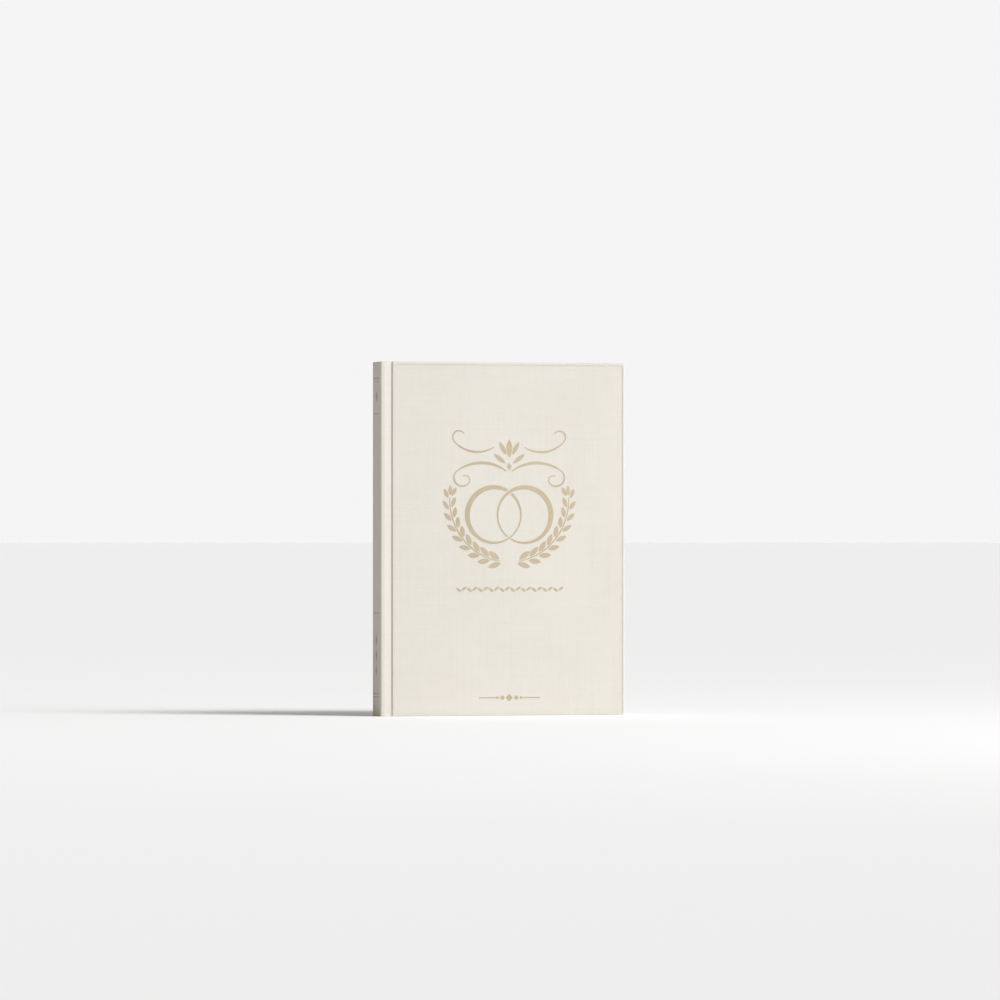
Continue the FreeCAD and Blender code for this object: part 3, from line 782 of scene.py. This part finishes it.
# One column of points at one place of the path, from the tail turn-in round to the head.
# Each is (share of the way inside, height, height on the flat cloth).
def clothColumn(outside, inside, puff):
    depth = math.hypot(inside[0] - outside[0], inside[1] - outside[1])
    way, bend = overEdge(depth, jointCloth["edgeRound"], jointCloth["edgeSteps"])
    turnIn = jointCloth["turnIn"]
    head = bookHeight + puff
    column = [(1.0, turnIn, -turnIn), (1.0, turnIn / 2, -turnIn / 2)]
    for share, rise in reversed(way):
        column.append((share, bend - rise, -share * depth))
    for share in jointCloth["uprightRows"]:
        column.append((0.0, share * bookHeight, share * bookHeight))
    for share, rise in way:
        column.append((share, head - bend + rise, bookHeight + share * depth))
    column.append((1.0, head - turnIn / 2, bookHeight + turnIn / 2))
    column.append((1.0, head - turnIn, bookHeight + turnIn))
    return column


# Cloth that follows the path between two of its points
def makeJointCloth(name, side, outside, inside, puffs, start):
    points, mapPoints, faces = [], [], []
    length = start
    for index, (outer, inner) in enumerate(zip(outside, inside)):
        if index:
            length += math.hypot(outer[0] - outside[index - 1][0], outer[1] - outside[index - 1][1])
        column = clothColumn(outer, inner, puffs[index])
        for share, z, unfolded in column:
            x, height = along(outer, inner, share)
            points.append((x, side * height, z))
            mapPoints.append((length, unfolded))
    rows = len(column)
    for index in range(len(outside) - 1):
        for row in range(rows - 1):
            a = index * rows + row
            faces.append((a, a + rows, a + rows + 1, a + 1))
    piece = buildPiece(name, points, faces, mapPoints)
    shape = bmesh.new()
    shape.from_mesh(piece.data)
    shape.faces.ensure_lookup_table()
    facing = shape.faces[rows // 2].normal
    outwards = -facing.x if abs(facing.x) > 0.5 else side * facing.y
    if outwards < 0:
        bmesh.ops.reverse_faces(shape, faces=shape.faces)
    shape.to_mesh(piece.data)
    shape.free()
    thicken(piece, jointCloth["clothBody"], False)
    applyModifiers(piece)
    for vertex in piece.data.vertices:
        vertex.co.z = max(vertex.co.z, 0.0)
    return piece, length


leafLook = {"sections": 16, "leavesEach": 6, "foreEdgeStray": 0.16 * mm, "headStray": 0.07 * mm,
            "fill": 0.80, "bend": 52 * mm, "bendSteps": 22, "restSteps": 5, "mapStep": (7, 5)}


# Thin leaves that fill a CAD solid, each a little off its neighbours at the edges
def makeLeaves(name, node, count):
    low, high = cornersOf(node)
    look = leafLook
    pitch = (high.y - low.y) / count
    thick = pitch * look["fill"]
    points, faces = [], []
    for number in range(count):
        y0 = low.y + pitch * number + (pitch - thick) / 2
        endX = high.x + dice.uniform(-1, 0.2) * look["foreEdgeStray"]
        z0 = low.z + dice.uniform(0, 1) * look["headStray"]
        z1 = high.z - dice.uniform(0, 1) * look["headStray"]
        bend, rest = look["bendSteps"], look["restSteps"]
        stations = [leafX + look["bend"] * step / bend for step in range(bend + 1)]
        bendEnd = stations[-1]
        stations += [bendEnd + (endX - bendEnd) * step / rest for step in range(1, rest + 1)]
        base = len(points)
        for x in stations:
            points += [(x, y0, z0), (x, y0, z1), (x, y0 + thick, z1), (x, y0 + thick, z0)]
        for index in range(len(stations) - 1):
            a = base + index * 4
            for corner in range(4):
                following = (corner + 1) % 4
                faces.append((a + corner, a + following, a + 4 + following, a + 4 + corner))
        faces.append((base + 3, base + 2, base + 1, base))
        end = base + (len(stations) - 1) * 4
        faces.append((end, end + 1, end + 2, end + 3))
    stepX, stepZ = look["mapStep"]
    mapPoints = [(x + stepX * y, z + stepZ * y) for x, y, z in points]
    piece = buildPiece(name, points, faces, mapPoints)
    faceEachOutwards(piece)
    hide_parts(node)
    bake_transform(piece)
    return piece


def makeBlock():
    for number in range(1, leafLook["sections"] + 1):
        name = "leaves_%02d" % number
        piece = makeLeaves(name, "section_%02d" % number, leafLook["leavesEach"])
        dress(piece, bentLeafPaper)
    for end in ("front", "back"):
        piece = makeLeaves(end + "EndLeaf", end + "_flyleaf", 1)
        dress(piece, bentEndpaper)


makeBlock()
print("leaves made")


def makeCover(word, side):
    cover = makeCoverCloth(word + "CoverLinen", side, word + "_cover")
    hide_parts(word + "_cover_cloth")
    if word == "front":
        loops = []
        for node in ("front_emblem_foil", "front_line_foil", "front_foot_foil"):
            loops += foilOutlines(node)
        pressCover(cover, side, loops, coverWrap["pocket"])
    shadeSmooth(cover, sharpAngle)
    finishOuterFace(cover, side)
    dress(cover, linenCloth)


# The cloth from the spine's middle to a board, in two pieces: one from the spine to midway
# between the hinge and the bottom of the groove, and the next from there to the board
def makeJoint(word, side):
    outside = outerPath()
    inside = innerPath(outside)
    middleX = (hingePoint.x + foldPoint.x) / 2
    split = min(range(len(outside)), key=lambda index: abs(outside[index][0] - middleX))
    puffs = []
    for x, height in outside:
        away = (x - hingePoint.x - jointCloth["puffFrom"]) / jointCloth["puffWidth"]
        puffs.append(jointCloth["puff"] * math.exp(-away ** 2))
    spineHalf, length = makeJointCloth(
        word + "SpineLinen", side, outside[:split + 1], inside[:split + 1], puffs[:split + 1], 0.0)
    pressSpinePockets(spineHalf)
    shadeSmooth(spineHalf, sharpAngle)
    finishSpineBack(spineHalf)
    dress(spineHalf, linenCloth)
    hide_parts("spine_cloth")
    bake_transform(spineHalf)
    groove = makeJointCloth(
        word + "GrooveLinen", side, outside[split:], inside[split:], puffs[split:], length)[0]
    shadeSmooth(groove, sharpAngle)
    dress(groove, linenCloth)
    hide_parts(word + "_joint_cloth")
    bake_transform(groove)


for word, side in (("front", frontSide), ("back", backSide)):
    makeCover(word, side)
    makeJoint(word, side)
print("case made")


# Distances of the endpaper's way from the block's fold, round the hinge, to the board
innerJoint = {"thickness": 0.2 * mm, "behindCloth": 0.5 * mm, "pastHinge": 0.75 * mm,
              "underHinge": 0.35 * mm, "shoulder": (0.02 * mm, 0.5 * mm, 0.03 * mm),
              "foldBend": (0.2 * mm, 0.2 * mm), "foldPull": (0.3 * mm, 0.2 * mm), "foldSteps": 8,
              "boardPull": (0.2 * mm, 0.1 * mm), "boardEnd": (0.6 * mm, 0.02 * mm), "boardSteps": 7,
              "shares": (0.12, 0.5, 0.8, 0.9)}


# The endpaper's two parts seen from above, which meet midway between hinge and groove
def innerPaths(pastedFace):
    look = innerJoint
    depth = clothThick / 2 + look["behindCloth"]
    nearHinge = (hingePoint.x + look["pastHinge"], hingePoint.y - depth - look["underHinge"])
    nearFold = (foldPoint.x - depth * math.sin(jointSlope), foldPoint.y - depth * math.cos(jointSlope))
    ways = [along(nearHinge, nearFold, share) for share in look["shares"]]
    foldEnd, middle, straight, boardStart = ways
    onBlock, shoulderX, shoulderRise = look["shoulder"]
    first = [(leafX, flyleafFace + onBlock), (foldX + shoulderX, flyleafFace + shoulderRise)]
    bendStart = (foldX + look["foldBend"][0], flyleafFace + look["foldBend"][1])
    bendPull = (foldX - look["foldPull"][0], nearHinge[1] + look["foldPull"][1])
    first += curve(bendStart, bendPull, foldEnd, look["foldSteps"]) + [middle]
    boardPull = (coverHingeX - look["boardPull"][0], nearFold[1] - look["boardPull"][1])
    boardEnd = (coverHingeX + look["boardEnd"][0], pastedFace - look["boardEnd"][1])
    second = [middle, straight] + curve(boardStart, boardPull, boardEnd, look["boardSteps"])
    return first, second, nearHinge[1]


def makeInnerJoint(word, side):
    blockHead, blockFoot = blockHigh.z, blockLow.z
    pasted = cornersOf(word + "_pastedown")
    pastedFace = min(abs(pasted[0].y), abs(pasted[1].y))
    first, second, hingeFace = innerPaths(pastedFace)
    pieces = []
    for part, path in (("EndpaperFold", first), ("EndpaperHinge", second)):
        points, faces = [], []
        for x, height in path:
            points += [(x, side * height, blockFoot), (x, side * height, blockHead)]
        for index in range(len(path) - 1):
            a = index * 2
            faces.append((a, a + 2, a + 3, a + 1))
        mapPoints = [(x, z) for x, y, z in points]
        piece = buildPiece(word + part, points, faces, mapPoints)
        solid = piece.modifiers.new("paperBody", "SOLIDIFY")
        solid.thickness = innerJoint["thickness"]
        solid.offset = 0
        applyModifiers(piece)
        faceEachOutwards(piece)
        shadeSmooth(piece, sharpAngle)
        dress(piece, bentEndpaper)
        pieces.append(piece)
    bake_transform(pieces[0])
    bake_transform(pieces[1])


makeInnerJoint("front", frontSide)
makeInnerJoint("back", backSide)


endBand = {"cords": 26, "ridge": 0.14, "swell": 0.7, "around": 14, "stepsPerCord": 4,
           "radius": 1.0 * mm, "skirt": 0.3 * mm, "sharpAngle": 50}
# The faces of a box whose corners run z first, then y, then x
boxFaces = ((0, 1, 3, 2), (4, 6, 7, 5), (0, 4, 5, 1), (2, 3, 7, 6), (0, 2, 6, 4), (1, 5, 7, 3))


# A bead of wound cord along the block's back, with a skirt that is glued down
def makeEndBand(name, node):
    low, high = cornersOf(node)
    look = endBand
    radius = look["radius"]
    headUp = high.z > bookHeight / 2
    centreZ = high.z - radius if headUp else low.z + radius
    centreX = low.x + radius
    skirtEnd = low.z if headUp else high.z
    points, faces = [], []
    steps = look["cords"] * look["stepsPerCord"]
    for step in range(steps + 1):
        share = step / steps
        swell = abs(math.sin(math.pi * look["cords"] * share)) ** look["swell"]
        grown = radius * (1 - look["ridge"] * (1 - swell))
        y = low.y + (high.y - low.y) * share
        for turn in range(look["around"]):
            angle = 2 * math.pi * turn / look["around"]
            points.append((centreX + grown * math.cos(angle), y, centreZ + grown * math.sin(angle)))
    around = look["around"]
    for step in range(steps):
        for turn in range(around):
            following = (turn + 1) % around
            a, b = step * around + turn, step * around + following
            faces.append((a, b, b + around, a + around))
    faces.append(tuple(range(around)))
    faces.append(tuple(steps * around + turn for turn in reversed(range(around))))
    base = len(points)
    z0, z1 = min(skirtEnd, centreZ), max(skirtEnd, centreZ)
    for x in (low.x, low.x + look["skirt"]):
        for y in (low.y, high.y):
            points += [(x, y, z0), (x, y, z1)]
    for quad in boxFaces:
        faces.append(tuple(base + corner for corner in quad))
    piece = buildPiece(name, points, faces)
    faceEachOutwards(piece)
    shadeSmooth(piece, look["sharpAngle"])
    dress(piece, yarns["bandCotton"])
    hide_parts(node)
    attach(piece, "root")


makeEndBand("headBandCords", "head_band")
makeEndBand("tailBandCords", "tail_band")
print("bands and endpaper joints made")


# The CAD pieces that are shown as they are, each with its material
keptNodes = {
    "front_board": papers["greyBoard"], "back_board": papers["greyBoard"],
    "spine_board": papers["greyBoard"],
    "front_pastedown": papers["endpaperPaper"], "back_pastedown": papers["endpaperPaper"],
    "section_folds": papers["leafPaper"], "spine_lining": papers["kraftLining"],
    "spine_mull": spineGauze, "front_mull_flange": flangeGauze, "back_mull_flange": flangeGauze,
    "sewing_thread": yarns["linenThread"], "spine_foil": spineFoil,
    "front_emblem_foil": coverFoil, "front_line_foil": coverFoil, "front_foot_foil": coverFoil,
}
for node, material in keptNodes.items():
    for materialSlot in frame["nodes"][node].material_slots:
        materialSlot.material = material


studio = {"floor": (0.928, 0.930, 0.933, 1), "floorSize": 400.0, "airLeft": (0.22, 0.17, 0.10, 1),
          "airRight": (0.58, 0.62, 0.68, 1), "backdrop": (0.913, 0.913, 0.913, 1), "keyStrength": 2.20,
          "keySpread": 22.0, "keyFrom": (1.0, -1.0, 1.6), "sideWatts": 10.0, "sideSize": 0.5,
          "sideFrom": (1.25, -1.15, 0.32)}


# Soft light from all round, cool and strong from the right and dim and warm from the
# left, behind an even pale backdrop
def makeAir():
    world = bpy.data.worlds.new("studioAir")
    bpy.context.scene.world = world
    world.use_nodes = True
    tree = world.node_tree
    background = tree.nodes["Background"]
    direction = addNode(tree, "ShaderNodeTexCoord").outputs["Generated"]
    rightward = addNode(tree, "ShaderNodeSeparateXYZ", {0: direction}).outputs[0]
    air = mixColor(tree, spread(tree, rightward, -1.0, 1.0), studio["airLeft"], studio["airRight"])
    seen = addNode(tree, "ShaderNodeLightPath").outputs["Is Camera Ray"]
    tree.links.new(mixColor(tree, seen, air, studio["backdrop"]), background.inputs["Color"])
    background.inputs["Strength"].default_value = 1.0


def makeStudio():
    size = studio["floorSize"] / 2
    corners = [(-size, -size, 0), (size, -size, 0), (size, size, 0), (-size, size, 0)]
    floor = buildPiece("floor", corners, [(0, 1, 2, 3)])
    look = {"Roughness": 1.0, "Specular IOR Level": 0.0, "Base Color": studio["floor"]}
    dress(floor, newMaterial("paleFloor", look)[0])
    makeAir()
    key = bpy.data.lights.new("keyLight", "SUN")
    key.energy = studio["keyStrength"]
    key.angle = math.radians(studio["keySpread"])
    lamp = addObject("keyLight", key)
    lamp.rotation_euler = Vector(studio["keyFrom"]).to_track_quat("Z", "Y").to_euler()
    soft = bpy.data.lights.new("sideLight", "AREA")
    soft.energy = studio["sideWatts"]
    soft.size = studio["sideSize"]
    panel = addObject("sideLight", soft)
    panel.location = studio["sideFrom"]
    towards = Vector((0, 0, bookHeight / 2)) - panel.location
    panel.rotation_euler = towards.to_track_quat("-Z", "Y").to_euler()


view = {"azimuth": -15.8, "distance": 4.7, "lens": 242.4, "sensor": 36.0, "aimX": 0.7 * mm,
        "aimRise": 27.2 * mm}


def makeCamera():
    lens = bpy.data.cameras.new("camera")
    lens.lens = view["lens"]
    lens.sensor_width = view["sensor"]
    lens.clip_start, lens.clip_end = 0.1, 1000
    camera = addObject("camera", lens)
    angle = math.radians(view["azimuth"])
    back = Vector((math.sin(angle), -math.cos(angle), 0))
    middle = Vector((0, 0, bookHeight / 2))
    camera.location = middle + back * view["distance"]
    right = Vector((math.cos(angle), math.sin(angle), 0))
    aim = middle + right * view["aimX"] + Vector((0, 0, view["aimRise"]))
    camera.rotation_euler = (aim - camera.location).to_track_quat("-Z", "Y").to_euler()
    bpy.context.scene.camera = camera


makeStudio()
makeCamera()
bpy.context.scene.view_settings.view_transform = "Standard"
bpy.context.scene.view_settings.look = "None"

print("scene ready")
